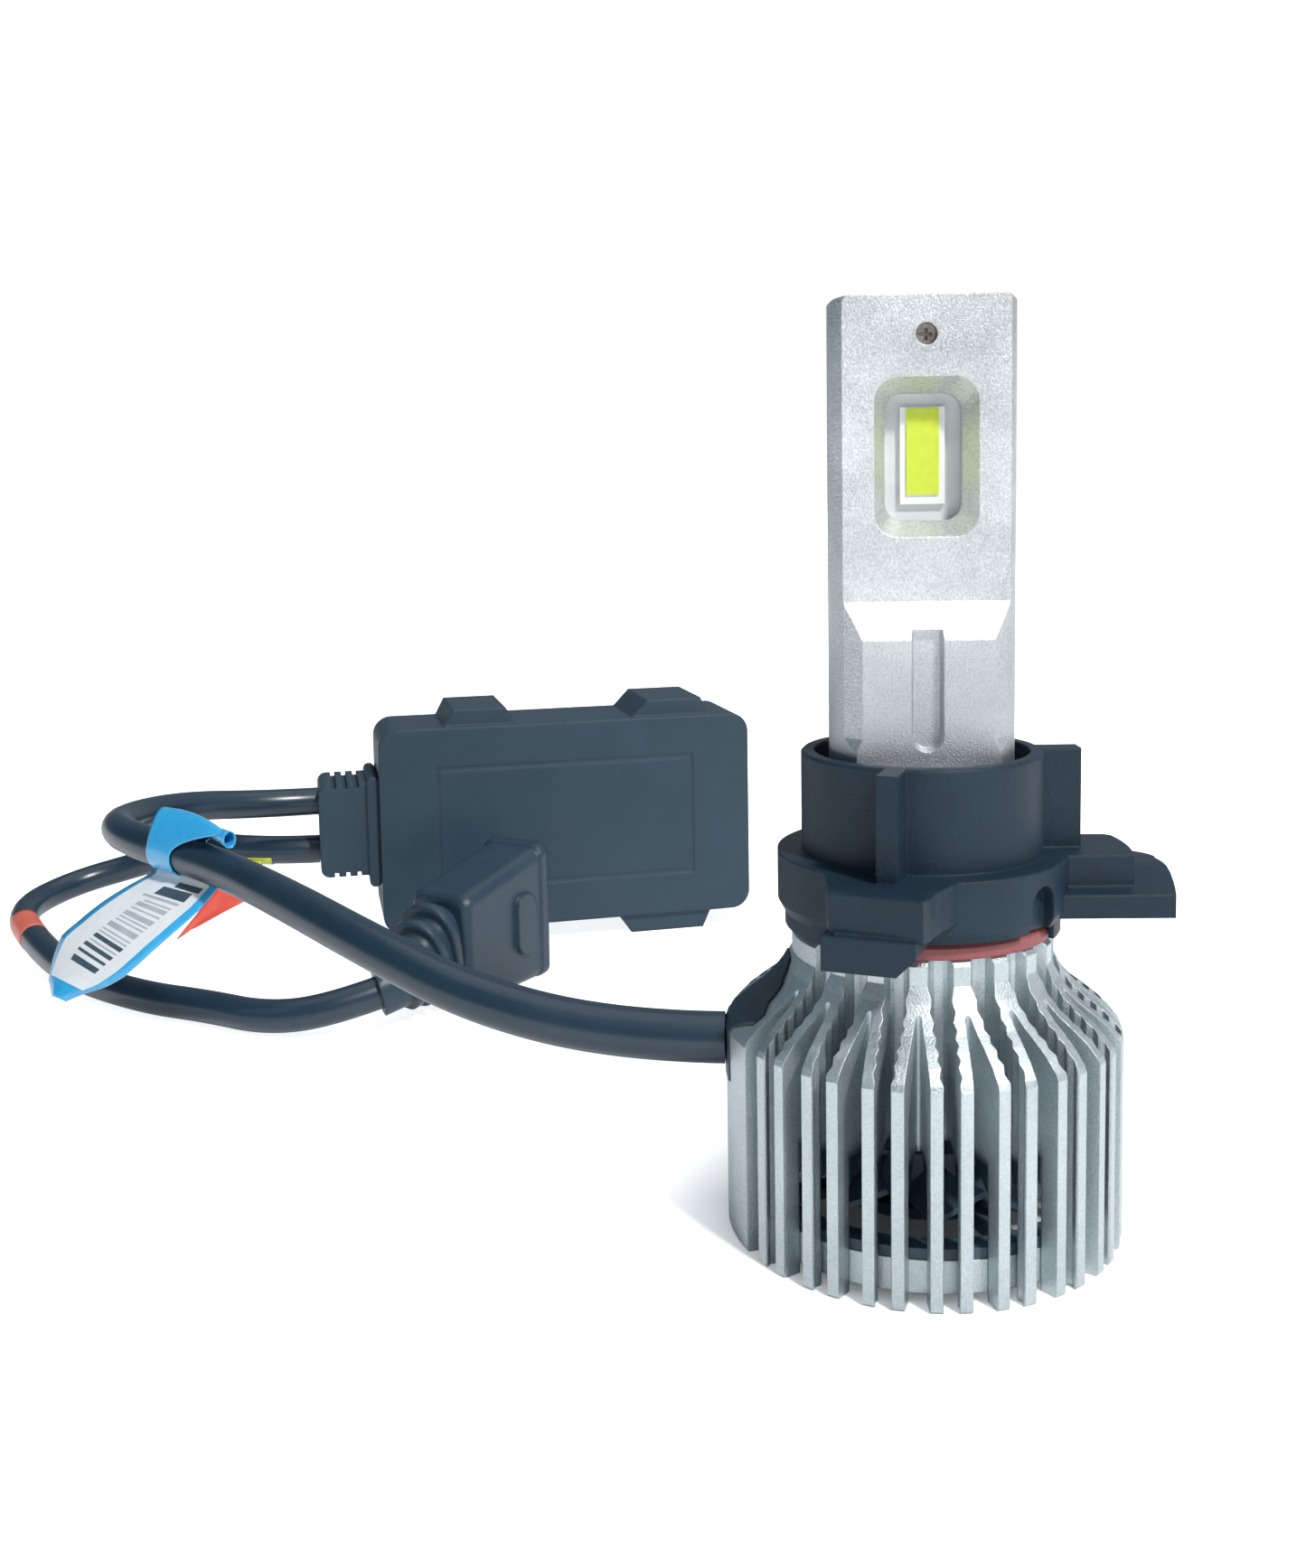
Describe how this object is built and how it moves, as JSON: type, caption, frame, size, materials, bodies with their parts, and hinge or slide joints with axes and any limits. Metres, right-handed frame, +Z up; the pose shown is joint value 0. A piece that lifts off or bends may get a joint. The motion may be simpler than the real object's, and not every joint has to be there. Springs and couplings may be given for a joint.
{
  "type": "headlight bulb",
  "caption": "LED headlight bulb with finned fan-cooled heat sink, two-faced mast and locking collar, cabled to an in-line driver box and a plug.",
  "frame": {"origin": "centre of the heat sink's bottom face, on the surface the bulb stands on", "axes": "+Z up along the lamp mast, -Y out of the front LED face, driver box and cables towards -X and +Y"},
  "size_m": [0.1404, 0.122, 0.0772],
  "materials": {
    "aluminium": "blasted",
    "mast_aluminium": "fine blasted, milled flats",
    "copper_board": "white solder mask over a copper core",
    "led_ceramic": "white package",
    "phosphor": "yellow phosphor",
    "steel": "machined",
    "black_nylon": "fine moulded texture",
    "red_silicone": "satin",
    "black_plastic": "moulded",
    "bronze": "sintered",
    "magnet": "sintered ferrite",
    "copper_winding": "enamelled copper",
    "circuit_board": "green solder mask",
    "cable_jacket": "glossy black silicone",
    "black_silicone": "satin",
    "driver_plastic": "fine matte texture",
    "capacitor_can": "sleeved can",
    "chip_epoxy": "moulded",
    "plug_plastic": "satin moulded",
    "tinned_brass": "tinned",
    "grey_seal": "satin",
    "tag_film": "glossy film, blue edge",
    "flag_film": "glossy film",
    "red_heatshrink": "satin"
  },
  "bodies": {
    "root": {"heat_sink": "aluminium", "mast_front": "mast_aluminium", "mast_rear": "mast_aluminium", "led_board": "copper_board", "led_front": "led_ceramic", "led_rear": "led_ceramic", "phosphor_front": "phosphor", "phosphor_rear": "phosphor", "mast_screw": "steel", "mast_base_screws": "steel", "collar_seal": "red_silicone", "fan_frame": "black_plastic", "fan_retainer": "steel", "fan_screws": "steel", "fan_bearing": "bronze", "fan_stator": "copper_winding", "fan_pcb": "circuit_board", "bulb_cable": "cable_jacket", "input_cable": "cable_jacket", "cable_grommet": "black_silicone", "driver_case": "driver_plastic", "driver_cover": "driver_plastic", "driver_pcb": "circuit_board", "driver_capacitor": "capacitor_can", "driver_inductor": "copper_winding", "driver_ic": "chip_epoxy", "driver_strain_relief": "black_silicone", "plug_housing": "plug_plastic", "plug_terminals": "tinned_brass", "plug_seal": "grey_seal", "plug_boot": "black_silicone", "wire_tag": "tag_film", "tag_flag": "flag_film", "red_band": "red_heatshrink"},
    "fan": {"fan_rotor": "black_plastic", "fan_shaft": "steel", "fan_magnet": "magnet"},
    "collar": {"collar": "black_nylon"}
  },
  "joints": [
    {"name": "fan_spin", "type": "hinge", "parent": "root", "child": "fan", "pos_m": [0, 0, 0.0066], "axis": [0, 0, 1], "continuous": true},
    {"name": "collar_twist", "type": "hinge", "parent": "root", "child": "collar", "pos_m": [0, 0, 0.033], "axis": [0, 0, 1], "continuous": true}
  ]
}
